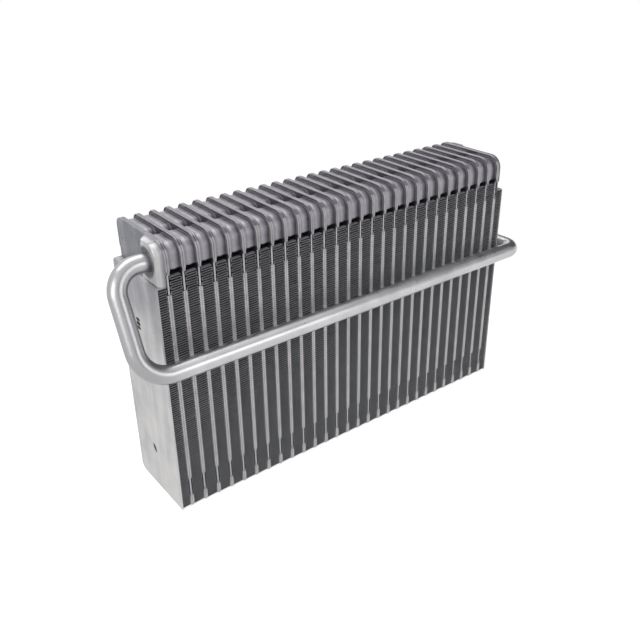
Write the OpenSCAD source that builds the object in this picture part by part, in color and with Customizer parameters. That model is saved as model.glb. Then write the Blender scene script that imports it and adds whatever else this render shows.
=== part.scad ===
// Laminated air conditioning evaporator core. Pairs of pressed aluminium plates are brazed into
// flat tubes, their drawn cups stack into a two-chamber tank along the top, and folded fins fill
// the gaps between the tubes. A bent pipe crosses the front face from one tank end to the other.
// X runs across the tubes, Y from the front face to the back, Z up the tubes.

/* [Core] */
// Number of flat tubes side by side
tube_count = 28; // [6:1:28]
// Distance from one tube to the next, which is also the depth of two meeting tank cups
tube_pitch = 11; // [9:0.5:13]
// Depth of the tubes and fins, front to back
core_depth = 63.4; // [56:0.2:72]
// Height of the end panels, from the bottom to the shoulder under the tank
core_height = 174.2; // [120:0.2:220]
// Height of the tank above that shoulder
tank_height = 27.8; // [26:0.2:32]
// Distance from the centre of an outermost tube to the outer face of its end panel
end_reach = 8.7; // [7.9:0.1:10]

/* [Tube plates] */
// Thickness of the pressed plate sheet
sheet = 0.5; // [0.4:0.05:0.6]
// Outside thickness of a flat tube
tube_thick = 2.9; // [2.6:0.1:3.4]
// Width of the flat brazed land round the coolant channel
land = 3.2; // [2.6:0.1:4]
// Width of the rib that parts the two coolant passes, and of the valley between the tank cups
rib = 4; // [3:0.2:6]
// How far the rib lies in front of the middle of the core
rib_forward = 1.7; // [0:0.1:3]
// Height at which the rib ends and the coolant turns back
turn_height = 24; // [18:1:34]
// Radius of the coolant channel's corners
channel_corner = 4; // [2:0.5:5]

/* [Edge lips] */
// How far the plates' plain edges lie behind the faces of the lips
edge_set = 0.7; // [0.5:0.1:1]
// Width of the groove between the two lips of a tube
seam_width = 0.5; // [0.3:0.05:0.7]
// Depth of the groove between the two lips of a tube
seam_depth = 0.35; // [0.2:0.05:0.4]
// Height of the first lip above the bottom
lip_start = 1; // [0.6:0.2:4]
// Height at which the short bottom lip ends
notch_low = 9.7; // [7:0.1:12]
// Height at which the long lip starts
notch_high = 24.2; // [18:0.1:30]
// Distance from the top of the long lip up to the shoulder
lip_gap = 6.8; // [4:0.2:12]

/* [Tank] */
// How far the tank rims stand in front of the core
rim_forward = 1.1; // [0.6:0.1:2]
// Height of the rims' lower corners above the shoulder
rim_rise = 6.6; // [5.6:0.2:8]
// Radius of the rims' front corners
front_corner = 10; // [8:0.5:12]
// Radius of the rims' rear corners
rear_corner = 6; // [5:0.5:8]
// Distance from the rim to the wall of a cup
cup_inset = 2.7; // [2:0.1:3.4]
// Height of the cups' undersides above the shoulder
cup_rise = 8.8; // [8:0.2:10]
// Radius of the cups' corners beside the valley
valley_corner = 5.5; // [4:0.5:7]
// Radius of the cups' lower corners
cup_corner = 3; // [2:0.5:4]
// Diameter of the ports between neighbouring cups
port_d = 10; // [7:0.5:11]

/* [Fins] */
// Thickness of the fin foil
foil = 0.14; // [0.1:0.01:0.2]
// Distance from one fold of a fin to the next
fin_pitch = 1.68; // [1.4:0.02:2.6]
// Height of the fins above the bottom
fin_start = 0.6; // [0.4:0.1:2]
// How far the inner fins rise above the shoulder
fin_rise = 4.4; // [2:0.2:5.4]
// How far the fins lie behind the faces of the core
fin_setback = 0.5; // [0.3:0.1:1.5]

/* [End panels] */
// Thickness of the end panels
panel = 1; // [0.8:0.1:1.2]
// Outer radius of the fold between a panel's side and its shoulder
fold = 2; // [1.4:0.1:2.4]
// Radius of the panels' lower rear corners
panel_corner = 6; // [4:0.5:10]
// Length of the drawn dome at its foot, from the tank rim inwards
dome_length = 27.6; // [25:0.2:30]
// Width of the flat flange between the tank rim and the dome's foot
dome_flange = 0.6; // [0.4:0.1:1]
// How far the dome's face lies outside the centre of the outermost tube
dome_reach = 7.4; // [6.8:0.1:8.2]
// How far the dome draws in from its foot to its face, at the inner side
dome_draft = 6; // [5:0.2:7]
// Radius of the dome's edges
dome_edge = 2.5; // [1.6:0.1:3]
// Radius of the sunk seat round a pipe's neck
seat_r = 9; // [8.6:0.1:9.4]
// Depth of the sunk seat
seat_depth = 2.4; // [1.5:0.1:3]
// Height of the middle one of the three punched slits above the bottom
slit_z = 136.4; // [110:0.2:150]
// Distance from one punched slit to the next
slit_pitch = 3.2; // [2.8:0.1:5]
// Height of the slanted slot above the bottom
slot_z = 34.7; // [20:0.1:50]
// Distance of the slits and the slot from the front edge
slot_y = 34.6; // [28:0.1:40]
// Width of the slits and the slot
slot_w = 1.8; // [1.2:0.1:2.2]
// Length of the punched slits
slit_length = 5; // [4:0.1:7]
// Length of the slanted slot
slot_length = 6.6; // [4:0.1:8]

/* [Pipes] */
// Outside diameter of the pipe that crosses the front
cross_od = 12.5; // [11:0.1:13]
// Outside diameter of the outlet pipe
outlet_od = 16; // [14:0.1:16.4]
// Wall of both pipes
pipe_wall = 1.2; // [1:0.1:1.5]
// How much fatter the pipes are in their bends, measured on the radius
bend_swell = 0.12; // [0.1:0.01:0.3]
// Brazing gap between a pipe and its hole
braze_gap = 0.05; // [0.02:0.01:0.15]
// Distance from the centres of the outermost tubes to the outermost line of the pipes
pipe_reach = 37.2; // [35:0.1:42]
// Height of the pipe necks above the shoulder
neck_rise = 13.2; // [12.6:0.1:13.8]
// Distance from the tank rim to the middle of a pipe neck
neck_back = 14; // [13.6:0.1:14.4]
// Height of the crossing pipe's run below the shoulder
run_drop = 51.7; // [40:0.1:80]
// Distance from the front face to the middle of the run at its left end
run_front_left = 15.7; // [12:0.1:20]
// Distance from the front face to the middle of the run at its right end
run_front_right = 11.4; // [9:0.1:16]
// Gap between the right end panel and the pipe beside it
side_gap = 3.2; // [0.8:0.1:4]
// How far in front of the tank's rear rim the crossing pipe ends, clear of the outlet's line
cross_short = 24; // [22:1:40]
// Bend radius at the top of the sloping leg
upper_bend = 17; // [14:0.5:20]
// Bend radius at the foot of the sloping leg
lower_bend = 20; // [15:0.5:22]
// Bend radius at the right end of the run
right_bend = 9.5; // [8:0.5:14]
// Bend radius of the outlet pipe
outlet_bend = 12; // [10:0.5:20]
// Length of the outlet pipe below its neck
outlet_drop = 34; // [28:1:60]

/* [Hidden] */
$fn = 48;
// Cuts reach this far past the faces that they open
over = 1;
// Thickness of the thin end of a blend
skin = 0.1;
// Length by which a pipe's runs lap into its bends
lap = 0.3;
// Small rounding at the foot of the tank rims
foot_corner = 1.5;
// Lean of the lower slot from upright
slot_lean = 28;
half_tube = tube_thick / 2;
half_pitch = tube_pitch / 2;
overall_height = core_height + tank_height;
rim_front = -rim_forward;
rim_back = core_depth + rim_forward;
rib_y = core_depth / 2 - rib_forward;
cup_low = core_height + cup_rise;
cup_high = overall_height - cup_inset;
port_z = (cup_low + cup_high) / 2;
front_port_y = (rim_front + cup_inset + rib_y - rib / 2) / 2;
rear_port_y = (rim_back - cup_inset + rib_y + rib / 2) / 2;
channel_top = cup_low + cup_corner;
half_span = (tube_count - 1) * tube_pitch / 2;
fin_width = tube_pitch - tube_thick;
end_fin_width = end_reach - panel - half_tube;
cross_r = cross_od / 2;
outlet_r = outlet_od / 2;
neck_z = core_height + neck_rise;
neck_y = rim_front + neck_back;
outlet_y = rim_back - neck_back;
seat_x = dome_reach - seat_depth;
// Where the pipe necks start, flush with the inside of the domes' seats
neck_start = half_span + seat_x - panel;
leg_x = -half_span - pipe_reach + cross_r;
side_x = half_span + end_reach + side_gap + cross_r;
outlet_x = half_span + pipe_reach - outlet_r;
// The crossing pipe has square bends and is turned a little, so that its run comes nearer the
// core at the right. Its path starts at the left neck, with X along the run. The run's start is
// moved so far that the top of the leg keeps its reach
skew = atan((run_front_left - run_front_right) / (side_x - leg_x));
leg_shift = (run_front_left + neck_y) * sin(skew) * cos(skew);
run_start = turned([leg_x + leg_shift + neck_start, -run_front_left - neck_y]);
run_end = turned([side_x + neck_start, -run_front_right - neck_y]);
cross_end = run_start[1] + (rim_back - cross_short + run_front_right) / cos(skew);
cross_drop = neck_rise + run_drop;
cross_path = [
    [0, 0, 0],
    [run_start[0], 0, 0],
    [run_start[0], run_start[1], -cross_drop],
    [run_end[0], run_start[1], -cross_drop],
    [run_end[0], cross_end, -cross_drop]
];
outlet_path = [
    [neck_start, outlet_y, neck_z],
    [outlet_x, outlet_y, neck_z],
    [outlet_x, outlet_y, neck_z - outlet_drop]
];
// The origin is under the middle of the whole part
middle_y = (rim_back - run_front_left - cross_r) / 2;

function two_digits(i) = str(i < 10 ? "0" : "", i);
function tube_name(i) = str("tube_", two_digits(i));
function fin_name(i) = str("fin_", two_digits(i));
function tube_x(i) = (i - 1) * tube_pitch - half_span;
function turned(v) = [v[0] * cos(skew) + v[1] * sin(skew), v[1] * cos(skew) - v[0] * sin(skew)];
function unit(v) = v / norm(v);
function turn(a, b) = acos(a * b);

// Moves a piece from the core's front edge to the part's origin
module placed() {
    translate([0, -middle_y, 0]) children();
}

// Raises an outline drawn in Y and Z into a plate from x0 to x1
module plate(x0, x1) {
    translate([x0, 0, 0]) rotate([90, 0, 90]) linear_extrude(x1 - x0) children();
}

// What a round corner takes away at [u, v]; the sides lead off along +-u and +-v
module corner_cut(corner, r, along) {
    difference() {
        translate(corner) square(2 * r, center = true);
        translate([corner[0] + along[0] * r, corner[1] + along[1] * r]) circle(r);
    }
}

// Rectangle with its own radius at each corner: lower left, lower right, upper right, upper left
module rounded(u0, u1, v0, v1, r) {
    difference() {
        translate([u0, v0]) square([u1 - u0, v1 - v0]);
        if (r[0] > 0) corner_cut([u0, v0], r[0], [1, 1]);
        if (r[1] > 0) corner_cut([u1, v0], r[1], [-1, 1]);
        if (r[2] > 0) corner_cut([u1, v1], r[2], [-1, -1]);
        if (r[3] > 0) corner_cut([u0, v1], r[3], [1, -1]);
    }
}

// Outline of the tank rims, drawn in by a margin
module rim_outline(margin) {
    rounded(
        rim_front + margin, rim_back - margin,
        core_height + rim_rise + margin, overall_height - margin,
        [foot_corner, foot_corner, rear_corner - margin, front_corner - margin]
    );
}

// Two strips a side where the plates' edges are bent out, as wide as stated
module edge_strips(width) {
    for (y = [0, core_depth - width]) {
        translate([y, lip_start]) square([width, notch_low - lip_start]);
        translate([y, notch_high]) square([width, core_height - lip_gap - notch_high]);
    }
}

// Edges that are bent out as far as the tube is thick: the strips and the tank rim
module lip_outline() {
    edge_strips(sheet);
    difference() {
        rim_outline(0);
        rim_outline(sheet);
    }
}

// Groove along the seam, where the bends of the two lips round away
module seam_outline() {
    edge_strips(seam_depth);
    difference() {
        rim_outline(-over);
        rim_outline(seam_depth);
    }
}

// Two passes side by side, joined at the bottom and running up into the cups
module channel_outline(margin) {
    corner = channel_corner - margin;
    difference() {
        rounded(
            land + margin, core_depth - land - margin, land + margin, channel_top,
            [corner, corner, corner, corner]
        );
        translate([rib_y - rib / 2 - margin, turn_height]) square([rib + 2 * margin, overall_height]);
        translate([rib_y, turn_height]) circle(rib / 2 + margin);
    }
}

// The two tank cups in outline, with the valley between them
module cup_outline(margin) {
    gap = cup_inset + margin;
    low_corner = cup_corner - margin;
    valley = valley_corner - margin;
    rounded(
        rim_front + gap, rib_y - rib / 2 - margin, cup_low + margin, cup_high - margin,
        [low_corner, low_corner, valley, front_corner - gap]
    );
    rounded(
        rib_y + rib / 2 + margin, rim_back - gap, cup_low + margin, cup_high - margin,
        [low_corner, low_corner, rear_corner - gap, valley]
    );
}

// One pressed plate on the +X side of its seam, with cups drawn out to a given depth
module pressed_plate(cup_depth, front_port, rear_port) {
    difference() {
        union() {
            plate(0, sheet) translate([edge_set, 0]) square([core_depth - 2 * edge_set, channel_top]);
            plate(0, sheet) edge_strips(edge_set + sheet);
            plate(0, sheet) rim_outline(0);
            plate(0, half_tube) lip_outline();
            plate(0, half_tube) channel_outline(0);
            plate(0, cup_depth) cup_outline(0);
        }
        plate(-over, seam_width / 2) seam_outline();
        plate(-over, half_tube - sheet) channel_outline(sheet);
        plate(-over, cup_depth - sheet) cup_outline(sheet);
        if (front_port) plate(0, cup_depth + over) translate([front_port_y, port_z]) circle(port_d / 2);
        if (rear_port) plate(0, cup_depth + over) translate([rear_port_y, port_z]) circle(port_d / 2);
    }
}

// A flat tube: two pressed plates back to back, with shallow cups where it meets an end panel
module tube(i) {
    first = i == 1;
    last = i == tube_count;
    color("silver") placed() translate([tube_x(i), 0, 0]) {
        pressed_plate(last ? half_tube : half_pitch, !last, true);
        mirror([1, 0, 0]) pressed_plate(first ? half_tube : half_pitch, true, !first);
    }
}

// One folded fin strip. Each fold has a flat crest against a tube and a sharp inner edge, so
// that the walls between the crests keep the foil's thickness
module folded_strip(width, top) {
    crest = 2 * foil;
    last = floor((top - fin_start - crest) / fin_pitch);
    outer = width / 2;
    right = [
        for (k = [0:last]) let (z = fin_start + k * fin_pitch)
            each k % 2 == 0 ? [[outer, z], [outer, z + crest]] : [[foil - outer, z + foil]]
    ];
    left = [
        for (k = [last:-1:0]) let (z = fin_start + k * fin_pitch)
            each k % 2 == 0 ? [[outer - foil, z + foil]] : [[-outer, z + crest], [-outer, z]]
    ];
    translate([0, core_depth - fin_setback, 0])
        rotate([90, 0, 0])
            linear_extrude(core_depth - 2 * fin_setback) polygon(concat(right, left));
}

// Strip between tube i and the next one
module fin(i) {
    color("dimgray") placed()
        translate([tube_x(i) + half_pitch, 0, 0]) folded_strip(fin_width, core_height + fin_rise);
}

// The two narrower strips between the outermost tubes and the end panels
module end_fins() {
    x = half_span + half_tube + end_fin_width / 2;
    color("dimgray") placed()
        for (side = [-1, 1]) translate([side * x, 0, 0]) folded_strip(end_fin_width, core_height - panel);
}

// Side of an end panel, folded over at the top into the shoulder under the tank
module folded_side() {
    translate([0, core_depth, 0]) rotate([90, 0, 0]) linear_extrude(core_depth) difference() {
        rounded(half_tube, end_reach, 0, core_height, [0, 0, fold, 0]);
        translate([0, -over]) rounded(
            0, end_reach - panel, 0, core_height - panel + over, [0, 0, fold - panel, 0]
        );
    }
}

// The block that the dome is drawn to, from a wide foot to a narrower face, drawn in by a margin
module dome(margin) {
    edge = dome_edge - margin;
    inset = margin + edge;
    y = [rim_front + dome_draft / 4 + inset, rim_front + dome_length - dome_draft - inset];
    z = [core_height + inset, overall_height - dome_draft / 2 - inset];
    wall = half_tube + panel;
    hull() {
        plate(margin > 0 ? wall : wall - skin, margin > 0 ? wall + skin : wall) rounded(
            rim_front + dome_flange + margin, rim_front + dome_length - margin,
            core_height + margin, overall_height - dome_flange - margin,
            [0, 0, dome_draft, front_corner - dome_flange - margin]
        );
        for (v = y, w = z) translate([dome_reach - inset, v, w]) sphere(edge, $fn = 24);
    }
}

// Narrow slot through a panel's side, lying along Y and turned by an angle
module slot_cut(z, length, angle) {
    run = (length - slot_w) / 2;
    translate([0, slot_y, z]) rotate([angle, 0, 0]) plate(end_reach - panel - over, end_reach + over) {
        square([2 * run, slot_w], center = true);
        for (u = [-run, run]) translate([u, 0]) circle(slot_w / 2);
    }
}

// Bore along X through the end panel, from x0 outwards, in line with a pipe's neck
module neck_bore(x0, r) {
    translate([x0, neck_y, neck_z]) rotate([0, 90, 0]) cylinder(h = end_reach + over - x0, r = r);
}

// Turns what is drawn at the front of the core to its rear
module at_rear() {
    translate([0, core_depth, 0]) mirror([0, 1, 0]) children();
}

module dome_shell() {
    difference() {
        dome(0);
        difference() {
            dome(panel);
            neck_bore(seat_x - panel, seat_r + panel);
        }
    }
}

module neck_cuts(hole_r) {
    neck_bore(seat_x, seat_r);
    neck_bore(seat_x - panel - skin, hole_r);
}

// Stamped end panel on the +X side: side, shoulder and tank face, open where the dome goes
module panel_sheet(port_y) {
    difference() {
        union() {
            folded_side();
            plate(half_tube, half_tube + panel) {
                translate([0, core_height - panel]) square([core_depth, channel_top - core_height + panel]);
                rim_outline(0);
            }
        }
        plate(end_reach - panel - over, end_reach + over) corner_cut([core_depth, 0], panel_corner, [-1, 1]);
        plate(0, half_tube + panel + skin) translate([port_y, port_z]) circle(port_d / 2);
        for (k = [-1:1]) slot_cut(slit_z + k * slit_pitch, slit_length, 0);
        slot_cut(slot_z, slot_length, 90 - slot_lean);
    }
}

module left_end_panel() {
    color("gainsboro") placed() translate([-half_span, 0, 0]) mirror([1, 0, 0]) difference() {
        union() {
            panel_sheet(front_port_y);
            dome_shell();
        }
        neck_cuts(cross_r + braze_gap);
    }
}

module right_end_panel() {
    color("gainsboro") placed() translate([half_span, 0, 0]) difference() {
        union() {
            panel_sheet(rear_port_y);
            at_rear() dome_shell();
        }
        at_rear() neck_cuts(outlet_r + braze_gap);
    }
}

// Round bar along a path of straight runs and bends, longer at both ends by a margin
module bent_bar(path, bends, r, margin) {
    last = len(path) - 1;
    run = [for (i = [0:last - 1]) unit(path[i + 1] - path[i])];
    inward = [for (i = [1:last - 1]) unit(run[i] - run[i - 1] * (run[i - 1] * run[i]))];
    angles = [for (i = [1:last - 1]) turn(run[i - 1], run[i])];
    trims = [for (i = [0:last - 2]) bends[i] * tan(angles[i] / 2)];
    lengths = [
        for (i = [0:last - 1])
            norm(path[i + 1] - path[i]) - (i > 0 ? trims[i - 1] : -margin)
                - (i < last - 1 ? trims[i] : -margin)
    ];
    twists = [
        for (i = [0:last - 2])
            let (u = i > 0 ? inward[i - 1] * cos(angles[i - 1]) - run[i - 1] * sin(angles[i - 1]) : inward[0])
                atan2(inward[i] * cross(run[i], u), inward[i] * u)
    ];
    side = cross(run[0], inward[0]);
    start = path[0] - run[0] * margin;
    multmatrix([for (k = [0:2]) [inward[0][k], side[k], run[0][k], start[k]]])
        bar_from(0, lengths, angles, twists, bends, r);
}

// The bar from run i onwards, each run and bend drawn where the one before it ends. Runs lap
// into the bends, which are a little fatter
module bar_from(i, lengths, angles, twists, bends, r) {
    before = i > 0 ? lap : 0;
    after = i < len(bends) ? lap : 0;
    translate([0, 0, -before]) cylinder(h = before + lengths[i] + after, r = r);
    if (i < len(bends)) translate([0, 0, lengths[i]]) rotate([0, 0, twists[i]]) translate([bends[i], 0, 0]) {
        rotate([90, angles[i] - 180, 0])
            rotate_extrude(angle = angles[i]) translate([bends[i], 0]) circle(r + bend_swell);
        rotate([0, angles[i], 0]) translate([-bends[i], 0, 0])
            bar_from(i + 1, lengths, angles, twists, bends, r);
    }
}

module pipe(path, bends, r) {
    difference() {
        bent_bar(path, bends, r, 0);
        bent_bar(path, bends, r - pipe_wall, over);
    }
}

// Crosses the front face below the tank and turns back beside the right end panel
module crossover_pipe() {
    color("lightgray") placed() translate([-neck_start, neck_y, neck_z]) rotate([0, 0, skew])
        pipe(cross_path, [upper_bend, lower_bend, right_bend], cross_r);
}

module outlet_pipe() {
    color("lightgray") placed() pipe(outlet_path, [outlet_bend], outlet_r);
}

for (i = [1:tube_count]) tube(i);
for (i = [1:tube_count - 1]) fin(i);
end_fins();
left_end_panel();
right_end_panel();
crossover_pipe();
outlet_pipe();
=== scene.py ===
from math import atan2, ceil, cos, hypot, pi, radians, sin

import bmesh
import bpy
from mathutils import Matrix, Vector
from mathutils.geometry import tessellate_polygon


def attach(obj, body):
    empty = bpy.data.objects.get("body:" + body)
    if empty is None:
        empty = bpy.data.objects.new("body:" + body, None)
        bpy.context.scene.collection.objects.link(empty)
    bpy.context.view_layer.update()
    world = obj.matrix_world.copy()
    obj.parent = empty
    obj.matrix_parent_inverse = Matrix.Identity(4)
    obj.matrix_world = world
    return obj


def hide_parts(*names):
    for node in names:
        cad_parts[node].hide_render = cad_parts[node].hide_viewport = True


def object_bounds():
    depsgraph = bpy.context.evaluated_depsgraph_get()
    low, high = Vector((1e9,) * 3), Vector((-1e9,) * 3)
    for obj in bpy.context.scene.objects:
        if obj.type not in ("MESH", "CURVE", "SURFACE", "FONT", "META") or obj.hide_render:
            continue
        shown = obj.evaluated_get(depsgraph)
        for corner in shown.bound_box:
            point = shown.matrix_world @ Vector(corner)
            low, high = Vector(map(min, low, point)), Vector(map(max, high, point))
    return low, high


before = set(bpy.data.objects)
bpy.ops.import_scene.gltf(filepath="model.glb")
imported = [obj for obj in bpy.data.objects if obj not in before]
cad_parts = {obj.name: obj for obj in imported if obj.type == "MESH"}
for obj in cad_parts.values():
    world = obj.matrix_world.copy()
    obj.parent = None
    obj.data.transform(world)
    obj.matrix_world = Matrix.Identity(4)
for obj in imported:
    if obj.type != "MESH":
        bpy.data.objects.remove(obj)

cad_box = [list(corner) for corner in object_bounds()]

# The photograph's view. The core stands upright and is seen from its front left and from above, by
# a camera that is close enough for the near end to look clearly larger than the far one.
TARGET = Vector((-0.03257, -0.02128, 0.11278))
AZIMUTH, ELEVATION, ROLL = radians(-36.795), radians(27.518), radians(-0.7242)
DISTANCE = 0.5661
SENSOR, FOCAL_SHARE = 36.0, 1.20872

back = Vector((sin(AZIMUTH) * cos(ELEVATION), -cos(AZIMUTH) * cos(ELEVATION), sin(ELEVATION)))
level = Vector((0, 0, 1)).cross(back).normalized()
upright = back.cross(level)
across = cos(ROLL) * level + sin(ROLL) * upright
above = cos(ROLL) * upright - sin(ROLL) * level
turned = Matrix((across, above, back)).transposed().to_4x4()
lens = bpy.data.cameras.new("view")
lens.sensor_width = SENSOR
lens.lens = SENSOR * FOCAL_SHARE
lens.clip_start = 0.01
view = bpy.data.objects.new("view", lens)
view.matrix_world = Matrix.Translation(TARGET + DISTANCE * back) @ turned
bpy.context.scene.collection.objects.link(view)
bpy.context.scene.camera = view
bpy.context.scene.view_settings.view_transform = "Standard"


# Studio lamps. Three large softboxes stand to the left, in front and above, as for a catalogue
# picture, so that the metal has broad soft lights and the gaps between the cups stay dark.
LAMPS = (
    ("left_softbox", (-1.3, -0.35, 0.75), (0.9, 1.0), 6.0),
    ("front_softbox", (0.5, -1.5, 0.7), (0.9, 0.9), 4.5),
    ("top_softbox", (-0.1, 0.5, 1.5), (1.4, 0.9), 9.0),
)

for name, spot, size, watts in LAMPS:
    light = bpy.data.lights.new(name, "AREA")
    light.shape = "RECTANGLE"
    light.size, light.size_y = size
    light.energy = watts
    lamp = bpy.data.objects.new(name, light)
    lamp.location = spot
    lamp.rotation_euler = (TARGET - Vector(spot)).to_track_quat("-Z", "Y").to_euler()
    bpy.context.scene.collection.objects.link(lamp)


# Studio surround. The world is white to the eye and in the metal, like the paper room of a
# catalogue picture, and lights the part more gently than it looks.
WHITE = (1, 1, 1, 1)
SOFT_LIGHT = 0.4


def join(tree, node, inputs):
    """Links each input that is given a node or a socket, and sets each that is given a value."""
    for name, value in inputs.items():
        if isinstance(value, bpy.types.Node):
            value = value.outputs[0]
        if isinstance(value, bpy.types.NodeSocket):
            tree.links.new(value, node.inputs[name])
        else:
            node.inputs[name].default_value = value


def add(tree, kind, inputs=None, stops=(), **settings):
    """Adds a node with its settings, its inputs and, on a colour ramp, its places and colours."""
    node = tree.nodes.new(kind)
    for name, value in settings.items():
        setattr(node, name, value)
    if stops:
        for _ in stops[2:]:
            node.color_ramp.elements.new(0.5)
        for element, (place, colour) in zip(node.color_ramp.elements, stops):
            element.position = place
            element.color = srgb(colour)
    join(tree, node, inputs or {})
    return node


def srgb(code):
    """Turns an sRGB hex colour to linear."""
    channels = [int(code[i:i + 2], 16) / 255 for i in (1, 3, 5)]
    return [c / 12.92 if c <= 0.04045 else ((c + 0.055) / 1.055) ** 2.4 for c in channels] + [1.0]


def empty_tree(holder):
    holder.use_nodes = True
    holder.node_tree.nodes.clear()
    return holder.node_tree


surround = bpy.data.worlds.new("surround")
bpy.context.scene.world = surround
tree = empty_tree(surround)
ray = add(tree, "ShaderNodeLightPath").outputs
seen = add(
    tree, "ShaderNodeMath", {0: ray["Is Camera Ray"], 1: ray["Is Glossy Ray"]},
    operation="MAXIMUM"
)
seen = add(tree, "ShaderNodeMath", {0: seen, 1: ray["Is Transmission Ray"]}, operation="MAXIMUM")
soft = add(tree, "ShaderNodeBackground", {"Color": WHITE, "Strength": SOFT_LIGHT})
white = add(tree, "ShaderNodeBackground", {"Color": WHITE, "Strength": 1.0})
world_light = add(tree, "ShaderNodeMixShader", {0: seen, 1: soft, 2: white})
add(tree, "ShaderNodeOutputWorld", {"Surface": world_light})


# Floor. A roll of white paper: matt and lit near the part, where it keeps the shadow, and an even
# white further out. The metal mirrors it as one pale sheet, and its matt face scatters light up.
PAPER = (0.9, 0.9, 0.9, 1)
PAPER_GLOW, PAPER_SHEEN = 0.6, 0.95
FADE_FROM, FADE_TO = 0.15, 0.6
FLOOR_SIZE, FLOOR_GAP = 12, 0.0002

paper = bpy.data.materials.new("white_paper_roll")
tree = empty_tree(paper)
ray = add(tree, "ShaderNodeLightPath").outputs
place = add(tree, "ShaderNodeTexCoord").outputs["Object"]
away = add(tree, "ShaderNodeVectorMath", {0: place}, operation="LENGTH").outputs["Value"]
far = add(
    tree, "ShaderNodeMapRange", {"Value": away, "From Min": FADE_FROM, "From Max": FADE_TO},
    interpolation_type="SMOOTHSTEP"
)
matt = add(tree, "ShaderNodeBsdfDiffuse", {"Color": PAPER, "Roughness": 1.0})
glow = add(tree, "ShaderNodeEmission", {"Color": WHITE, "Strength": PAPER_GLOW})
sheen = add(tree, "ShaderNodeEmission", {"Color": WHITE, "Strength": PAPER_SHEEN})
even = add(tree, "ShaderNodeEmission", {"Color": WHITE, "Strength": 1.0})
lit = add(tree, "ShaderNodeAddShader", {0: matt, 1: glow})
shown = add(tree, "ShaderNodeMixShader", {0: far, 1: lit, 2: even})
mirrored = add(tree, "ShaderNodeMixShader", {0: ray["Is Glossy Ray"], 1: matt, 2: sheen})
pick = add(tree, "ShaderNodeMixShader", {0: ray["Is Camera Ray"], 1: mirrored, 2: shown})
add(tree, "ShaderNodeOutputMaterial", {"Surface": pick})
bpy.ops.mesh.primitive_plane_add(size=FLOOR_SIZE, location=(0, 0, cad_box[0][2] - FLOOR_GAP))
floor = bpy.context.object
floor.name = "floor"
floor.data.materials.append(paper)


# Two cards, out of the picture, for the metal to mirror. A grey wall stands far in front and a dark
# one at the right, so that the pipe and the cups have darker sides beside their soft lights.
CARDS = (
    ("grey_wall", (1.5, -2.6, 1.6), (5.5, 2.6, 1), 0.42),
    ("dark_corner", (2.0, 0.4, 1.3), (2.4, 2.2, 1), 0.07),
)

for name, spot, size, grey in CARDS:
    card = bpy.data.materials.new(name)
    tree = empty_tree(card)
    flat = add(tree, "ShaderNodeEmission", {"Color": WHITE, "Strength": grey})
    add(tree, "ShaderNodeOutputMaterial", {"Surface": flat})
    bpy.ops.mesh.primitive_plane_add(size=1, location=spot)
    wall = bpy.context.object
    wall.name = name
    wall.scale = size
    wall.rotation_euler = (Vector((0, 0, 0.1)) - wall.location).to_track_quat("-Z", "Y").to_euler()
    wall.visible_camera = False
    wall.data.materials.append(card)


# Flat tubes. Each is a pair of plates pressed from clad aluminium sheet and brazed at their seam,
# with two cups at the top that stack into the tank, long edges bent out into lips, and a lipped rim
# round the cups. Sizes here and below are in millimetres, with Y from the core's front face.
FRONT_TO_ORIGIN = 21.275
TUBES = 28
PITCH = 11.0
HALF_SPAN = PITCH * (TUBES - 1) / 2
DEPTH = 63.4
SHOULDER = 174.2
TOP = 202.0
SHEET = 0.5
HALF_TUBE = 1.45
HALF_EDGE, EDGE_SET, EDGE_TOP = 0.62, 0.7, 185.0
RIB_Y, HALF_RIB = 30.0, 2.0
RIM_FRONT, RIM_BACK, RIM_LOW = -1.1, DEPTH + 1.1, SHOULDER + 6.6
RIM_RADII = (1.5, 1.5, 6.0, 10.0)
RIM_STEPS = 9
LIP_RUN_OUT, LIP_FADE = 0.3, 3.6
CUP_LOW, CUP_HIGH, CUP_SET = SHOULDER + 8.6, TOP - 2.7, 2.7
PAD_SET, PAD_RADIUS, PAD_TOP, FOOT_TOP = 3.2, 4.0, 178.6, 24.0
STRIPS = ((1.0, 9.7), (24.2, SHOULDER - 6.8))
STRIP_ENDS = ((0.0, 0.0), (0.15, 0.8), (0.5, 1.0))
TANK_SET, TANK_LOW, TANK_RADII = 1.0, RIM_LOW + 0.6, (0.5, 0.5, 5.0, 9.0)
CUPS = (
    (RIM_FRONT + CUP_SET, RIB_Y - HALF_RIB, CUP_LOW, CUP_HIGH, (1.8, 1.8, 5.5, 7.3)),
    (RIB_Y + HALF_RIB, RIM_BACK - CUP_SET, CUP_LOW, CUP_HIGH, (1.8, 1.8, 3.3, 5.5))
)
PADS = (
    (PAD_SET, RIB_Y - HALF_RIB, PAD_SET, PAD_TOP, [PAD_RADIUS] * 4),
    (RIB_Y + HALF_RIB, DEPTH - PAD_SET, PAD_SET, PAD_TOP, [PAD_RADIUS] * 4),
    (PAD_SET, DEPTH - PAD_SET, PAD_SET, FOOT_TOP, [PAD_RADIUS] * 4)
)
SHARP_FROM = radians(40)

# Profiles: how far in from the outer edge, and how far out from the seam.
LIP = (
    (0.42, 0.0), (0.25, 0.1), (0.08, 0.3), (0.0, 0.55), (0.0, 1.0), (0.06, 1.28), (0.22, 1.43),
    (0.42, 1.45), (0.56, 1.36), (0.62, 1.15), (0.66, 0.85), (0.8, 0.62), (1.05, 0.52), (2.3, 0.5)
)
CUP = (
    (-0.75, 0.5), (-0.45, 0.54), (-0.2, 0.7), (-0.06, 0.98), (0.0, 1.4), (0.02, 2.2), (-0.04, 3.2),
    (-0.16, 4.2), (-0.3, 5.0), (-0.34, 5.5)
)
SHALLOW_CUP = ((-0.6, 0.5), (-0.2, 0.7), (0.0, 1.1), (0.1, 1.38), (0.35, 1.45))
PAD = ((-0.5, 0.5), (-0.1, 0.8), (0.0, 1.1), (0.12, 1.38), (0.4, 1.45))


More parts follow.
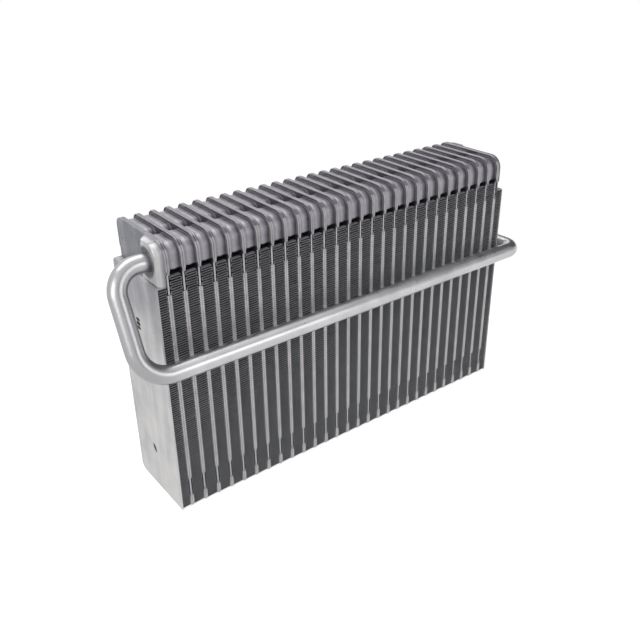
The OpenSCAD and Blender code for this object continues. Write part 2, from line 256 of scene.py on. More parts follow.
def smooth(share):
    share = min(max(share, 0), 1)
    return share * share * (3 - 2 * share)


def outline(y0, y1, z0, z1, radii, inset=0.0, steps=6):
    """Points round a rounded plate in Y and Z, set in by inset, from the lower front corner on."""
    y0, y1, z0, z1 = y0 + inset, y1 - inset, z0 + inset, z1 - inset
    corners = (
        (y0, z0, 1, 1, pi), (y1, z0, -1, 1, 1.5 * pi),
        (y1, z1, -1, -1, 0), (y0, z1, 1, -1, 0.5 * pi)
    )
    points = []
    for (y, z, toward_y, toward_z, start), radius in zip(corners, radii):
        r = max(radius - inset, 0.05)
        for k in range(steps + 1):
            a = start + 0.5 * pi * k / steps
            points.append((y + toward_y * r + r * cos(a), z + toward_z * r + r * sin(a)))
    return points


def at_x(x, points):
    return [(x, y, z) for y, z in points]


def loft(shape, loops, ring=True, first=False, last=False):
    """Adds the skin through loops of equally many points, and caps its ends where asked."""
    verts, faces = shape
    start, n = len(verts), len(loops[0])
    for loop in loops:
        verts.extend(loop)
    for k in range(len(loops) - 1):
        a, b = start + k * n, start + (k + 1) * n
        for i in range(n if ring else n - 1):
            j = (i + 1) % n
            faces.append((a + i, a + j, b + j, b + i))
    if first:
        faces.append(tuple(range(start + n - 1, start - 1, -1)))
    if last:
        faces.append(tuple(range(start + (len(loops) - 1) * n, start + len(loops) * n)))


def fit_piece(name, shape, material, stands_for):
    """Makes the piece from its shape, in place of the plain solid that it stands for."""
    verts, faces = shape
    mesh = bpy.data.meshes.new(name)
    metres = [(x / 1000, (y - FRONT_TO_ORIGIN) / 1000, z / 1000) for x, y, z in verts]
    mesh.from_pydata(metres, [], faces)
    work = bmesh.new()
    work.from_mesh(mesh)
    bmesh.ops.recalc_face_normals(work, faces=work.faces)
    work.to_mesh(mesh)
    work.free()
    mesh.shade_smooth()
    mesh.set_sharp_from_angle(angle=SHARP_FROM)
    mesh.materials.append(material)
    piece = bpy.data.objects.new(name, mesh)
    bpy.context.scene.collection.objects.link(piece)
    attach(piece, "root")
    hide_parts(stands_for)


def lip_section(width):
    """The lips on both sides of the seam; a width of 0 leaves the plate's plain edge."""
    half = [(n, x if x <= SHEET else SHEET + (x - SHEET) * width) for n, x in LIP]
    return half[:0:-1] + [(n, -x) for n, x in half]


def rim_width(z):
    return smooth((z - RIM_LOW - LIP_RUN_OUT) / LIP_FADE)


def add_rim(shape, x0):
    """The lip round the cups. It runs out to a plain edge just above the shoulder."""
    insets = {}
    for n, x in LIP:
        insets[n] = outline(RIM_FRONT, RIM_BACK, RIM_LOW, TOP, RIM_RADII, n, RIM_STEPS)
    count = len(insets[0.0])
    loops = []
    for k in range(count + 1):
        section = lip_section(rim_width(insets[0.0][k % count][1]))
        loops.append([(x0 + x, *insets[n][k % count]) for n, x in section])
    skin = []
    for here, there in zip(loops, loops[1:]):
        skin.append(here)
        (x, y, low), (x, next_y, high) = here[0], there[0]
        if abs(y - next_y) < 0.01:
            for share in (0.12, 0.25, 0.4, 0.6, 0.8):
                section = lip_section(rim_width(low + share * (high - low)))
                skin.append([
                    (x0 + x, p[1], p[2] + share * (q[2] - p[2]))
                    for (n, x), p, q in zip(section, here, there)
                ])
    skin.append(loops[0])
    loft(shape, skin, ring=False)


def tube_shape(number):
    shape = ([], [])
    x0 = (number - 1) * PITCH - HALF_SPAN
    front, rear = EDGE_SET, DEPTH - EDGE_SET
    edge = [(front, 0), (rear, 0), (rear, EDGE_TOP), (front, EDGE_TOP)]
    loft(shape, [at_x(x0 + x, edge) for x in (-HALF_EDGE, HALF_EDGE)], first=True, last=True)
    tank = outline(RIM_FRONT + TANK_SET, RIM_BACK - TANK_SET, TANK_LOW, TOP - TANK_SET, TANK_RADII)
    loft(shape, [at_x(x0 + x, tank) for x in (-SHEET, SHEET)], first=True, last=True)
    for outward, face in ((1, 0.0), (-1, DEPTH)):
        for low, high in STRIPS:
            steps = [(low + share, width) for share, width in STRIP_ENDS]
            steps += [(high - share, width) for share, width in reversed(STRIP_ENDS)]
            loops = []
            for z, width in steps:
                loops.append([(x0 + x, face + outward * n, z) for n, x in lip_section(width)])
            loft(shape, loops, ring=False)
    add_rim(shape, x0)
    for side, outermost in ((1, TUBES), (-1, 1)):
        profile = SHALLOW_CUP if number == outermost else CUP
        for cup in CUPS:
            loops = [at_x(x0 + side * x, outline(*cup, inset)) for inset, x in profile]
            loft(shape, loops, last=True)
        for pad in PADS:
            loops = [at_x(x0 + side * x, outline(*pad, inset, 3)) for inset, x in PAD]
            loft(shape, loops, last=True)
    return shape


# Brazed aluminium sheet: satin grey, clouded where flux dried in the furnace. It is painted darker
# in the corners beside the rims, as painted shade, and the lips' fronts and the rim tops are
# painted lighter, partly as a painted highlight and partly as cleaner, worn metal. Its real grain
# is about
# 0.1 mm, too fine for the picture, so it is drawn coarser.
FLUX_CLOUD, SHEET_GRAIN = 6.25, 0.71429
FULL_SHADE_TO, NO_SHADE_FROM, CORNER_SHADE = 1.4, 4.8, 0.55
MIDDLE = (DEPTH / 2 - FRONT_TO_ORIGIN) / 1000
LIGHTER_LIP_DEPTH = DEPTH / 2 - 1.0, DEPTH / 2 - 0.7
LIGHTER_TOP_HEIGHT, TOP_LIGHTENING = (TOP - 1.7, TOP - 1.1), 0.4
LIGHTER_LIP_HEIGHT, UPPER_LIP_LIGHTENING = (SHOULDER + 1.8, SHOULDER + 9.8), 0.65


def bare_aluminium(name):
    """A metal with the default IOR; its node tree and its shader."""
    material = bpy.data.materials.new(name)
    material.use_nodes = True
    shader = material.node_tree.nodes["Principled BSDF"]
    shader.inputs["Metallic"].default_value = 1.0
    return material, material.node_tree, shader


tube_metal, tree, shader = bare_aluminium("brazed_pressed_aluminium")
place = add(tree, "ShaderNodeTexCoord").outputs["Object"]
along = add(tree, "ShaderNodeSeparateXYZ", {0: place}).outputs
cloud = add(
    tree, "ShaderNodeTexNoise",
    {"Vector": place, "Scale": 1000 / FLUX_CLOUD, "Detail": 6.0, "Roughness": 0.65}
)
from_first = add(tree, "ShaderNodeMath", {0: along["X"], 1: HALF_SPAN / 1000}, operation="ADD")
from_tube = add(tree, "ShaderNodeMath", {0: from_first, 1: PITCH / 2000}, operation="PINGPONG")
# Painted shade: darker near each tube's plane, in the corners beside the rims.
corner_shade_mask = add(
    tree, "ShaderNodeMapRange",
    {
        "Value": from_tube, "From Min": FULL_SHADE_TO / 1000, "From Max": NO_SHADE_FROM / 1000,
        "To Min": CORNER_SHADE, "To Max": 0.0
    },
    interpolation_type="SMOOTHSTEP"
)
from_middle = add(tree, "ShaderNodeMath", {0: along["Y"], 1: MIDDLE}, operation="SUBTRACT")
from_middle = add(tree, "ShaderNodeMath", {0: from_middle}, operation="ABSOLUTE")
# Painted highlight, partly cleaner worn metal: the lips' fronts and the rim tops are lighter.
faces = add(
    tree, "ShaderNodeMapRange",
    {"Value": from_middle, "From Min": LIGHTER_LIP_DEPTH[0] / 1000, "From Max": LIGHTER_LIP_DEPTH[1] / 1000}
)
tops = add(
    tree, "ShaderNodeMapRange",
    {
        "Value": along["Z"], "From Min": LIGHTER_TOP_HEIGHT[0] / 1000, "From Max": LIGHTER_TOP_HEIGHT[1] / 1000,
        "To Max": TOP_LIGHTENING
    }
)
rims = add(
    tree, "ShaderNodeMapRange",
    {
        "Value": along["Z"], "From Min": LIGHTER_LIP_HEIGHT[0] / 1000, "From Max": LIGHTER_LIP_HEIGHT[1] / 1000,
        "To Min": 1.0, "To Max": UPPER_LIP_LIGHTENING
    }
)
faces = add(tree, "ShaderNodeMath", {0: faces, 1: rims}, operation="MULTIPLY")
lit_and_worn = add(tree, "ShaderNodeMath", {0: faces, 1: tops}, operation="MAXIMUM")
toned = add(
    tree, "ShaderNodeValToRGB", {"Fac": cloud},
    ((0.3, "#928f97"), (0.5, "#a19ea5"), (0.72, "#b1aeb3"))
)
lit_and_worn_colour = add(tree, "ShaderNodeValToRGB", {"Fac": cloud}, ((0.3, "#aaa8aa"), (0.7, "#c6c4c5")))
shaded_in_corners = add(tree, "ShaderNodeMix", {0: corner_shade_mask, 6: toned, 7: srgb("#4c4b52")}, data_type="RGBA")
colour = add(tree, "ShaderNodeMix", {0: lit_and_worn, 6: shaded_in_corners.outputs[2], 7: lit_and_worn_colour}, data_type="RGBA")
satin = add(
    tree, "ShaderNodeMapRange",
    {"Value": cloud, "From Min": 0.3, "From Max": 0.7, "To Min": 0.46, "To Max": 0.6}
)
grain = add(
    tree, "ShaderNodeTexNoise",
    {"Vector": place, "Scale": 1000 / SHEET_GRAIN, "Detail": 2.0, "Roughness": 0.5}
)
bump = add(tree, "ShaderNodeBump", {"Strength": 0.1, "Distance": 0.0002, "Height": grain})
join(tree, shader, {"Base Color": colour.outputs[2], "Roughness": satin, "Normal": bump})

for number in range(1, TUBES + 1):
    name = "tube_%02d" % number
    fit_piece("brazed_" + name, tube_shape(number), tube_metal, name)


# Fins. Thin aluminium foil folded into level walls with round crests, which are brazed to the tubes
# on both sides. The walls aren't quite even, as on any core that has been handled.
FOIL = 0.16
FOLD = 1.68
CREST = 0.35
FIN_SET = 0.5
FIN_LOW, FIN_TOP, END_FIN_TOP = 1.2, SHOULDER + 5.2, SHOULDER - 1
FIN_TILT = 0.06
UNEVEN_Z, UNEVEN_TILT = 0.11, 0.02
END_FIN_WIDTH = 6.25


def fin_shape(x0, width, top, seed):
    reach = (width - FOIL) / 2
    line = []
    walls = int((top - FIN_LOW) / FOLD) + 1
    for k in range(walls):
        side = 1 if k % 2 == 0 else -1
        uneven = sin(k * 1.9 + seed * 2.7) * sin(k * 0.31 + seed)
        z = FIN_LOW + k * FOLD + UNEVEN_Z * uneven
        tilt = FIN_TILT + UNEVEN_TILT * sin(k * 0.7 + seed * 1.3)
        for share in (-1.0, 0.0, 1.0):
            x = share * side * (reach - CREST)
            line.append((x, z + tilt * x))
        if k < walls - 1:
            for a in (-0.5, 0.0, 0.5):
                x = side * (reach - CREST + CREST * cos(a * pi * 0.8))
                line.append((x, z + FOLD / 2 + tilt * side * reach + FOLD / 2 * sin(a * pi * 0.8)))
    upper, lower = [], []
    for k, (x, z) in enumerate(line):
        a, b = line[max(k - 1, 0)], line[min(k + 1, len(line) - 1)]
        length = hypot(b[0] - a[0], b[1] - a[1])
        u, v = (b[1] - a[1]) / length * FOIL / 2, -(b[0] - a[0]) / length * FOIL / 2
        upper.append((x0 + x + u, z + v))
        lower.append((x0 + x - u, z - v))
    shape = ([], [])
    front, rear = FIN_SET, DEPTH - FIN_SET
    sides = (
        (upper, front, upper, rear), (lower, front, lower, rear),
        (upper, front, lower, front), (upper, rear, lower, rear)
    )
    for a, y0, b, y1 in sides:
        loft(shape, [[(x, y0, z) for x, z in a], [(x, y1, z) for x, z in b]], ring=False)
    return shape


# Coated foil: the coating is dull and hides more than half of the metal's shine. The walls are pale
# at their plain front and rear margins. Where they are cut into louvres they are painted dark, as
# painted shade, and the top wall, which lies in shade, is painted pale further in from its edges,
# as painted light.
FOIL_CLOUD = 4.54545
PLAIN_MARGIN = DEPTH / 2 - 1.6, DEPTH / 2 - 0.8
PAINTED_LIGHT_MARGIN = DEPTH / 2 - 4.2, DEPTH / 2 - 3.1
PAINTED_LIGHT_HEIGHT = SHOULDER + 3.8, SHOULDER + 4.6
LOUVRE_PITCH = 1.0472

fin_metal, tree, shader = bare_aluminium("coated_fin_foil")
place = add(tree, "ShaderNodeTexCoord").outputs["Object"]
along = add(tree, "ShaderNodeSeparateXYZ", {0: place}).outputs
cloud = add(
    tree, "ShaderNodeTexNoise",
    {"Vector": place, "Scale": 1000 / FOIL_CLOUD, "Detail": 5.0, "Roughness": 0.6}
)
from_middle = add(tree, "ShaderNodeMath", {0: along["Y"], 1: MIDDLE}, operation="SUBTRACT")
from_middle = add(tree, "ShaderNodeMath", {0: from_middle}, operation="ABSOLUTE")
margin = add(
    tree, "ShaderNodeMapRange",
    {"Value": from_middle, "From Min": PLAIN_MARGIN[0] / 1000, "From Max": PLAIN_MARGIN[1] / 1000},
    interpolation_type="SMOOTHSTEP"
)
# Painted light: the top wall, which lies in shade under the cups, is painted pale further in.
painted_light_top = add(
    tree, "ShaderNodeMapRange",
    {"Value": from_middle, "From Min": PAINTED_LIGHT_MARGIN[0] / 1000, "From Max": PAINTED_LIGHT_MARGIN[1] / 1000},
    interpolation_type="SMOOTHSTEP"
)
top_wall = add(
    tree, "ShaderNodeMapRange",
    {"Value": along["Z"], "From Min": PAINTED_LIGHT_HEIGHT[0] / 1000, "From Max": PAINTED_LIGHT_HEIGHT[1] / 1000}
)
painted_light_top = add(tree, "ShaderNodeMath", {0: top_wall, 1: painted_light_top}, operation="MULTIPLY")
pale = add(tree, "ShaderNodeMath", {0: margin, 1: painted_light_top}, operation="MAXIMUM")
# Painted shade: the louvred part of each wall is painted dark for the shade in its slits.
louvre_shade = add(tree, "ShaderNodeValToRGB", {"Fac": cloud}, ((0.3, "#38393f"), (0.7, "#4d4f55")))
plain = add(tree, "ShaderNodeValToRGB", {"Fac": cloud}, ((0.3, "#a9abb0"), (0.7, "#c8c9cd")))
colour = add(tree, "ShaderNodeMix", {0: pale, 6: louvre_shade, 7: plain}, data_type="RGBA")
per_metre = 2 * pi * 1000 / LOUVRE_PITCH / 20
louvres = add(
    tree, "ShaderNodeTexWave", {"Vector": place, "Scale": per_metre},
    wave_type="BANDS", bands_direction="Y"
)
bump = add(
    tree, "ShaderNodeBump",
    {"Strength": 0.3, "Distance": 0.0003, "Height": louvres.outputs["Fac"]}
)
join(tree, shader, {
    "Base Color": colour.outputs[2], "Metallic": 0.4, "Roughness": 0.5, "Normal": bump
})

for number in range(1, TUBES):
    name = "fin_%02d" % number
    strip = fin_shape((number - 0.5) * PITCH - HALF_SPAN, PITCH - 2 * HALF_TUBE, FIN_TOP, number)
    fit_piece("folded_" + name, strip, fin_metal, name)
end_fins = ([], [])
for side in (-1, 1):
    middle = side * (HALF_SPAN + HALF_TUBE + END_FIN_WIDTH / 2)
    verts, faces = fin_shape(middle, END_FIN_WIDTH, END_FIN_TOP, 30 + side)
    start = len(end_fins[0])
    end_fins[0].extend(verts)
    end_fins[1].extend(tuple(start + v for v in face) for face in faces)
fit_piece("folded_end_fins", end_fins, fin_metal, "end_fins")


# End panels. Each is one stamping of 1 mm aluminium sheet: a flat side with slits and a slot, a
# shoulder, a face that closes the tank, and a drawn dome with a sunk seat in which a pipe's neck
# is brazed. The left dome is over the front chamber and the right one over the rear.
PANEL = 1.0
PANEL_OUT = 8.7
FOLD_RADIUS = 2.0
CORNER_RADIUS = 6.0
SLIT_Y, SLIT_Z, SLIT_STEP, SLIT = 34.6, 136.4, 3.2, (5.6, 2.2)
SLOT_Z, SLOT, SLOT_LEAN = 34.7, (7.4, 2.8), radians(62)
SKIRT_TOP, SKIRT_SET = 182.0, 0.04
FACE_ROUND = ((0.0, 0.0), (0.0, 0.75), (0.08, 0.92), (0.25, PANEL))
DOME_GRID, DOME_WIDTH, DOME_RISE, DOME_CORNER = 0.4, 28.2, 4.95, 9.0
RIM_SLOPE, TOP_SLOPE, CORNER_SLOPE = 1.5, 0.7, 1.6
INNER_FOOT, INNER_SLOPE, LOWER_SLOPE = 27.2, 6.5, 4.0
INNER_LEAN, LEAN_FROM, LEAN_OVER = 3.0, 190.0, 12.0
NECK_IN, NECK_Z = 14.0, SHOULDER + 13.2
SEAT_LEFT, SEAT_RIGHT, SEAT_SLOPE, SUNK = 10.8, 11.6, 4.2, 1.6
CROSS_R, OUTLET_R = 6.25, 8.0
FILLET = ((1.5, -0.05), (0.8, 0.1), (0.35, 0.35), (0.1, 0.8), (0.0, 1.5))
ROUND = 48


def dome_height(y, z, seat_r):
    """How far the dome stands out at y and z, with y measured from the tank rim inwards."""
    round_y, round_z = max(DOME_CORNER - y, 0), max(z - (TOP - 0.2 - DOME_CORNER), 0)
    corner = DOME_CORNER + 0.1 - hypot(round_y, round_z) if round_y > 0 and round_z > 0 else 99
    outer = smooth(min((y - 0.1) / RIM_SLOPE, (TOP - z) / TOP_SLOPE, corner / CORNER_SLOPE))
    foot = INNER_FOOT - INNER_LEAN * smooth((z - LEAN_FROM) / LEAN_OVER)
    inner = smooth((foot - y) / INNER_SLOPE)
    lower = smooth((z - SHOULDER + 3.0) / LOWER_SLOPE)
    plateau = DOME_RISE * outer * inner * lower
    from_neck = hypot(y - NECK_IN, z - NECK_Z)
    sunk = SUNK * (1 - smooth((from_neck - seat_r + SEAT_SLOPE) / SEAT_SLOPE))
    return max(plateau - sunk * smooth(plateau / 3.0), 0)


def slot_outline(y, z, length, width, lean=0.0):
    run, r = (length - width) / 2, width / 2
    points = []
    for end, start in ((1, -0.5 * pi), (-1, 0.5 * pi)):
        for k in range(7):
            a = start + pi * k / 6
            u, v = end * run + r * cos(a), r * sin(a)
            points.append((y + u * cos(lean) - v * sin(lean), z + u * sin(lean) + v * cos(lean)))
    return points


def add_pierced_sheet(shape, edge, holes, x0, x1):
    verts, faces = shape
    rings = [edge] + holes
    flat = [Vector((y, z, 0)) for ring in rings for y, z in ring]
    triangles = tessellate_polygon([[Vector((y, z, 0)) for y, z in ring] for ring in rings])
    for x in (x0, x1):
        start = len(verts)
        verts.extend((x, p.x, p.y) for p in flat)
        faces.extend(tuple(start + v for v in t) for t in triangles)
    for ring in rings:
        loft(shape, [at_x(x, ring) for x in (x0, x1)])


def add_dome(shape, over_rear, seat_r):
    """A fine grid over the tank's face that keeps only the cells which stand proud of it."""
    verts, faces = shape
    start = len(verts)
    face = HALF_TUBE + PANEL
    columns, rows = int(DOME_WIDTH / DOME_GRID), ceil((TOP - SHOULDER) / DOME_GRID)
    for row in range(rows + 1):
        z = SHOULDER + row * (TOP - SHOULDER) / rows
        for column in range(columns + 1):
            y = column * DOME_GRID
            across_tank = RIM_BACK - y if over_rear else RIM_FRONT + y
            verts.append((face - 0.03 + dome_height(y, z, seat_r), across_tank, z))
    for row in range(rows):
        for column in range(columns):
            first = start + row * (columns + 1) + column
            corners = (first, first + 1, first + columns + 2, first + columns + 1)
            if max(verts[v][0] for v in corners) > face - 0.02:
                faces.append(corners)


def panel_shape(side, over_rear, seat_r, neck_r):
    """Drawn for the +X side, with X from the outermost tube's seam, then put on its own side."""
    shape = ([], [])
    edge = outline(0, DEPTH, 0, SHOULDER - FOLD_RADIUS, (0, CORNER_RADIUS, 0, 0))
    holes = [slot_outline(SLIT_Y, SLIT_Z + SLIT_STEP * k, *SLIT) for k in (-1, 0, 1)]
    holes.append(slot_outline(SLIT_Y, SLOT_Z, *SLOT, SLOT_LEAN))
    add_pierced_sheet(shape, edge, holes, PANEL_OUT - PANEL, PANEL_OUT)
    turns = [k * pi / 16 for k in range(9)]
    x, z, inside = PANEL_OUT - FOLD_RADIUS, SHOULDER - FOLD_RADIUS, FOLD_RADIUS - PANEL
    fold = [(x + FOLD_RADIUS * cos(a), z + FOLD_RADIUS * sin(a)) for a in turns]
    fold += [(HALF_TUBE, fold[-1][1]), (HALF_TUBE, SHOULDER - PANEL)]
    fold += [(x + inside * cos(a), z + inside * sin(a)) for a in reversed(turns)]
    loft(shape, [[(x, y, z) for x, z in fold] for y in (0.0, DEPTH)], first=True, last=True)
    loops = []
    for inset, out in FACE_ROUND:
        plate = outline(RIM_FRONT, RIM_BACK, RIM_LOW, TOP, RIM_RADII, inset, RIM_STEPS)
        loops.append(at_x(HALF_TUBE + out, plate))
    loft(shape, loops, first=True, last=True)
    skirt = [(0, SHOULDER - 0.5), (DEPTH, SHOULDER - 0.5), (DEPTH, SKIRT_TOP), (0, SKIRT_TOP)]
    depths = HALF_TUBE, HALF_TUBE + PANEL - SKIRT_SET
    loft(shape, [at_x(x, skirt) for x in depths], first=True, last=True)
    add_dome(shape, over_rear, seat_r)
    neck_y = RIM_BACK - NECK_IN if over_rear else RIM_FRONT + NECK_IN
    seat = HALF_TUBE + PANEL + DOME_RISE - SUNK
    fillet = []
    turns = [2 * pi * k / ROUND for k in range(ROUND)]
    for wider, rise in FILLET:
        r = neck_r + wider
        ring = [(neck_y + r * cos(a), NECK_Z + r * sin(a)) for a in turns]
        fillet.append(at_x(seat + rise, ring))
    loft(shape, fillet)
    return [(side * (HALF_SPAN + x), y, z) for x, y, z in shape[0]], shape[1]


# Rolled aluminium sheet: pale, with soft streaks and a rolled grain that run up it, the grain drawn
# ten times coarser than it is, to show. It is painted darker towards the tank, as painted shade,
# and paler where it stands out from the tank's face, as painted light. The left panel is painted
# dark as painted shade round its slits and slot and in one small pit on the tank's face, and at its
# neck as painted shade in the seat together with a flux stain at the joint.
STREAK, PATCH, ROLLED_GRAIN = 9.0909, 22.222, 1.1111
ALONG_STREAKS = (1, 1, 0.06)
ALONG_GRAIN = (1, 1, 0.05)
TOP_SHADE_FROM, TOP_SHADE_TO, TOP_SHADE = 115.0, 168.0, -0.27
FACE_X = HALF_SPAN + HALF_TUBE + PANEL
DRAWN_OUT, PROUD_LIGHTENING = (FACE_X + 0.25, FACE_X + 2.25), 0.2
PROUD_LIGHT_ABOVE, PROUD_LIGHT_OVER_TANK = (SHOULDER - 0.4, SHOULDER + 0.8), 0.75
SHADE_AND_STAIN_SPOTS = (
    (RIM_FRONT + NECK_IN, NECK_Z, 9.0, 11.8, 0.85), (57.6, 188.4, 0.3, 1.2, 0.8),
    (SLIT_Y, SLIT_Z, 1.6, 4.2, 0.6), (SLIT_Y, SLOT_Z, 1.2, 3.6, 0.6)
)

panel_metal, tree, shader = bare_aluminium("rolled_aluminium_sheet")
place = add(tree, "ShaderNodeTexCoord").outputs["Object"]
along = add(tree, "ShaderNodeSeparateXYZ", {0: place}).outputs
drawn_along = add(tree, "ShaderNodeMapping", {"Vector": place, "Scale": ALONG_STREAKS})
streaks = add(
    tree, "ShaderNodeTexNoise",
    {"Vector": drawn_along, "Scale": 1000 / STREAK, "Detail": 5.0, "Roughness": 0.6}
)
patches = add(
    tree, "ShaderNodeTexNoise",
    {"Vector": place, "Scale": 1000 / PATCH, "Detail": 5.0, "Roughness": 0.6}
)
blend = add(tree, "ShaderNodeMix", {0: 0.5, 2: streaks, 3: patches}, data_type="FLOAT")
# Painted shade: darker towards the tank.
painted_top_shade = add(
    tree, "ShaderNodeMapRange",
    {
        "Value": along["Z"], "From Min": TOP_SHADE_FROM / 1000, "From Max": TOP_SHADE_TO / 1000,
        "To Min": 0.0, "To Max": TOP_SHADE
    },
    interpolation_type="SMOOTHSTEP"
)
# Painted light: paler where the sheet stands out from the tank's face, more so over the tank.
out = add(tree, "ShaderNodeMath", {0: along["X"]}, operation="ABSOLUTE")
proud_light = add(
    tree, "ShaderNodeMapRange",
    {
        "Value": out, "From Min": DRAWN_OUT[0] / 1000, "From Max": DRAWN_OUT[1] / 1000,
        "To Max": PROUD_LIGHTENING
    }
)
tank = add(
    tree, "ShaderNodeMapRange",
    {
        "Value": along["Z"], "From Min": PROUD_LIGHT_ABOVE[0] / 1000, "From Max": PROUD_LIGHT_ABOVE[1] / 1000,
        "To Max": PROUD_LIGHT_OVER_TANK
    }
)
tone = add(tree, "ShaderNodeMath", {0: blend, 1: painted_top_shade}, operation="ADD")
tone = add(tree, "ShaderNodeMath", {0: tone, 1: proud_light}, operation="ADD")
tone = add(tree, "ShaderNodeMath", {0: proud_light, 1: tank, 2: tone}, operation="MULTIPLY_ADD")
toned = add(
    tree, "ShaderNodeValToRGB", {"Fac": tone},
    ((0.2, "#808187"), (0.47, "#a8a8ac"), (0.7, "#cbcaca"), (0.95, "#dfdddb"))
)
from_side = add(tree, "ShaderNodeVectorMath", {0: place, 1: (0.0, 1.0, 1.0)}, operation="MULTIPLY")
# Painted shade round the left slits and slot and in a small pit on the tank's face; in the left
# neck's seat, painted shade with a flux stain.
shade_and_stain = 0.0
for y, z, dark_to, faded_from, depth in SHADE_AND_STAIN_SPOTS:
    centre = (0.0, (y - FRONT_TO_ORIGIN) / 1000, z / 1000)
    away = add(
        tree, "ShaderNodeVectorMath", {0: from_side, 1: centre}, operation="DISTANCE"
    ).outputs["Value"]
    spot = add(
        tree, "ShaderNodeMapRange",
        {
            "Value": away, "From Min": dark_to / 1000, "From Max": faded_from / 1000,
            "To Min": depth, "To Max": 0.0
        },
        interpolation_type="SMOOTHSTEP"
    )
    shade_and_stain = add(tree, "ShaderNodeMath", {0: spot, 1: shade_and_stain}, operation="ADD")
left = add(tree, "ShaderNodeMath", {0: along["X"], 1: 0.0}, operation="LESS_THAN")
shade_and_stain = add(tree, "ShaderNodeMath", {0: shade_and_stain, 1: left}, operation="MULTIPLY")
colour = add(tree, "ShaderNodeMix", {0: shade_and_stain, 6: toned, 7: srgb("#55565b")}, data_type="RGBA")
dull = add(
    tree, "ShaderNodeMapRange",
    {"Value": blend, "From Min": 0.3, "From Max": 0.7, "To Min": 0.42, "To Max": 0.6}
)
rolled_along = add(tree, "ShaderNodeMapping", {"Vector": place, "Scale": ALONG_GRAIN})
rolled = add(
    tree, "ShaderNodeTexNoise",
    {"Vector": rolled_along, "Scale": 1000 / ROLLED_GRAIN, "Detail": 3.0, "Roughness": 0.6}
)
bump = add(tree, "ShaderNodeBump", {"Strength": 0.12, "Distance": 0.0002, "Height": rolled})
join(tree, shader, {"Base Color": colour.outputs[2], "Roughness": dull, "Normal": bump})

left_panel = panel_shape(-1, False, SEAT_LEFT, CROSS_R)
right_panel = panel_shape(1, True, SEAT_RIGHT, OUTLET_R)
fit_piece("stamped_left_end_panel", left_panel, panel_metal, "left_end_panel")
fit_piece("stamped_right_end_panel", right_panel, panel_metal, "right_end_panel")


# Pipes. Drawn aluminium tube, bent cold and brazed into the domes. The crossing pipe has a small
# dent at its neck and one at its lower bend, and both pipes end in a plain open cut.
WALL = 1.2
NECK_START = HALF_SPAN + 4.0
LEG_X = -HALF_SPAN - 37.2 + CROSS_R
SIDE_X = HALF_SPAN + PANEL_OUT + 3.2 + CROSS_R
RUN_Z = SHOULDER - 51.7
NECK_Y = RIM_FRONT + NECK_IN
RUN_LEFT, RUN_RIGHT = -15.7, -11.4
LEG_LEAN = 0.36
CROSS_SHORT = 24.0
CROSS_BENDS, OUTLET_BENDS = (17.0, 20.0, 9.5), (12.0,)
OUTLET_X, OUTLET_Y, OUTLET_DROP = HALF_SPAN + 37.2 - OUTLET_R, RIM_BACK - NECK_IN, 34.0
DENTS = ((Vector((-174.5, 12.5, 193.2)), 3.6, 0.5), (Vector((-176.5, -21.0, 119.0)), 2.4, 0.4))


def centre_line(corners, bends):
    """Points about every 6 mm of the straight runs and every 5 degrees of the bends."""
    points = [corners[0]]
    for before, corner, after, r in zip(corners, corners[1:], corners[2:], bends):
        u, v = (corner - before).normalized(), (after - corner).normalized()
        angle = u.angle(v)
        start = corner - u * (r * sin(angle) / (1 + cos(angle)))
        centre = start + (v - u * u.dot(v)).normalized() * r
        axis = u.cross(v).normalized()
        steps = ceil(angle / radians(5))
        for k in range(steps + 1):
            points.append(centre + Matrix.Rotation(angle * k / steps, 3, axis) @ (start - centre))
    points.append(corners[-1])
    fine = []
    for a, b in zip(points, points[1:]):
        cuts = max(int((b - a).length / 6), 1)
        fine += [a + (b - a) * k / cuts for k in range(cuts)]
    return fine + [points[-1]]


def pipe_shape(corners, bends, r, dents=()):
    line = centre_line(corners, bends)
    side = (line[1] - line[0]).cross(Vector((0, 1, 0.3))).normalized()
    outer, inner = [], []
    for k, middle in enumerate(line):
        ahead = (line[min(k + 1, len(line) - 1)] - line[max(k - 1, 0)]).normalized()
        side = (side - ahead * side.dot(ahead)).normalized()
        other = ahead.cross(side)
        outer_loop, inner_loop = [], []
        for j in range(ROUND):
            a = 2 * pi * j / ROUND
            away = side * cos(a) + other * sin(a)
            point = middle + away * r
            for spot, size, depth in dents:
                distance = (point - spot).length
                if distance < size:
                    point -= away * depth * smooth(1 - distance / size)
            outer_loop.append(tuple(point))
            inner_loop.append(tuple(middle + away * (r - WALL)))
        outer.append(outer_loop)
        inner.append(inner_loop)
    shape = ([], [])
    loft(shape, outer)
    loft(shape, inner[-8:])
    loft(shape, [outer[-1], inner[-1]])
    loft(shape, [outer[0], inner[0]])
    return shape


# Drawn aluminium: the brightest metal here, half polished by the die, so that it shows long soft
# lights with faint waves. It is painted darker on the sloping leg and its bend, as painted shade.
TARNISH, SCUFF, WAVE = 16.667, 8.3333, 5.0
SHADED_TO, UNSHADED_FROM = -176.0, -140.0

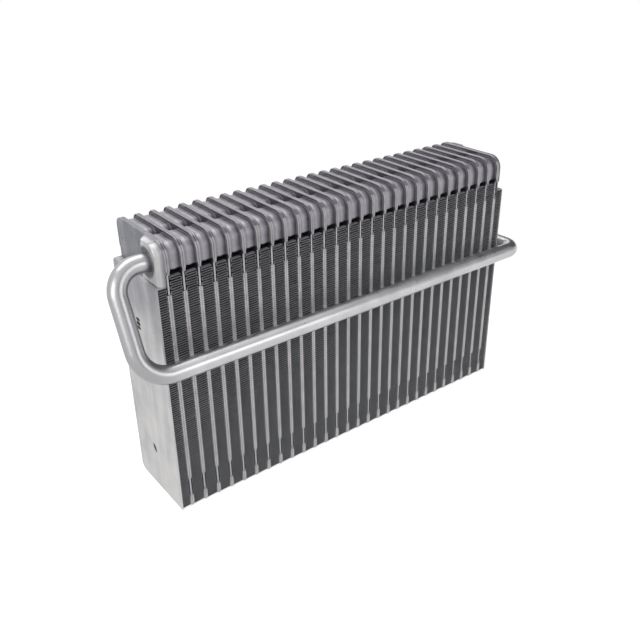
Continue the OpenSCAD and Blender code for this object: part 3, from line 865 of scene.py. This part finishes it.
pipe_metal, tree, shader = bare_aluminium("drawn_aluminium_pipe")
place = add(tree, "ShaderNodeTexCoord").outputs["Object"]
along = add(tree, "ShaderNodeSeparateXYZ", {0: place}).outputs
tarnish = add(
    tree, "ShaderNodeTexNoise",
    {"Vector": place, "Scale": 1000 / TARNISH, "Detail": 4.0, "Roughness": 0.5}
)
scuffs = add(
    tree, "ShaderNodeTexNoise",
    {"Vector": place, "Scale": 1000 / SCUFF, "Detail": 5.0, "Roughness": 0.6}
)
waves = add(
    tree, "ShaderNodeTexNoise",
    {"Vector": place, "Scale": 1000 / WAVE, "Detail": 2.0, "Roughness": 0.5}
)
bright = add(tree, "ShaderNodeValToRGB", {"Fac": tarnish}, ((0.3, "#c6c5c8"), (0.7, "#d8d7d9")))
# Painted shade: the sloping leg and its bend are darker.
past_leg = add(
    tree, "ShaderNodeMapRange",
    {"Value": along["X"], "From Min": SHADED_TO / 1000, "From Max": UNSHADED_FROM / 1000},
    interpolation_type="SMOOTHSTEP"
)
colour = add(tree, "ShaderNodeMix", {0: past_leg, 6: srgb("#aeadb0"), 7: bright}, data_type="RGBA")
scuffed = add(
    tree, "ShaderNodeMapRange",
    {"Value": scuffs, "From Min": 0.35, "From Max": 0.7, "To Min": 0.27, "To Max": 0.36}
)
bump = add(tree, "ShaderNodeBump", {"Strength": 0.05, "Distance": 0.0003, "Height": waves})
join(tree, shader, {"Base Color": colour.outputs[2], "Roughness": scuffed, "Normal": bump})

skew = atan2(RUN_RIGHT - RUN_LEFT, SIDE_X - LEG_X)
side_corner = Vector((SIDE_X, RUN_RIGHT, RUN_Z))
backward = Vector((-sin(skew), cos(skew), 0))
crossing = [
    Vector((-NECK_START, NECK_Y, NECK_Z)),
    Vector((LEG_X, NECK_Y - LEG_LEAN, NECK_Z)),
    Vector((LEG_X + LEG_LEAN, RUN_LEFT, RUN_Z)),
    side_corner,
    side_corner + backward * ((RIM_BACK - CROSS_SHORT - RUN_RIGHT) / cos(skew)),
]
outlet = [
    Vector((NECK_START, OUTLET_Y, NECK_Z)),
    Vector((OUTLET_X, OUTLET_Y, NECK_Z)),
    Vector((OUTLET_X, OUTLET_Y, NECK_Z - OUTLET_DROP)),
]
cross_shape = pipe_shape(crossing, CROSS_BENDS, CROSS_R, DENTS)
outlet_shape = pipe_shape(outlet, OUTLET_BENDS, OUTLET_R)
fit_piece("bent_crossover_pipe", cross_shape, pipe_metal, "crossover_pipe")
fit_piece("bent_outlet_pipe", outlet_shape, pipe_metal, "outlet_pipe")
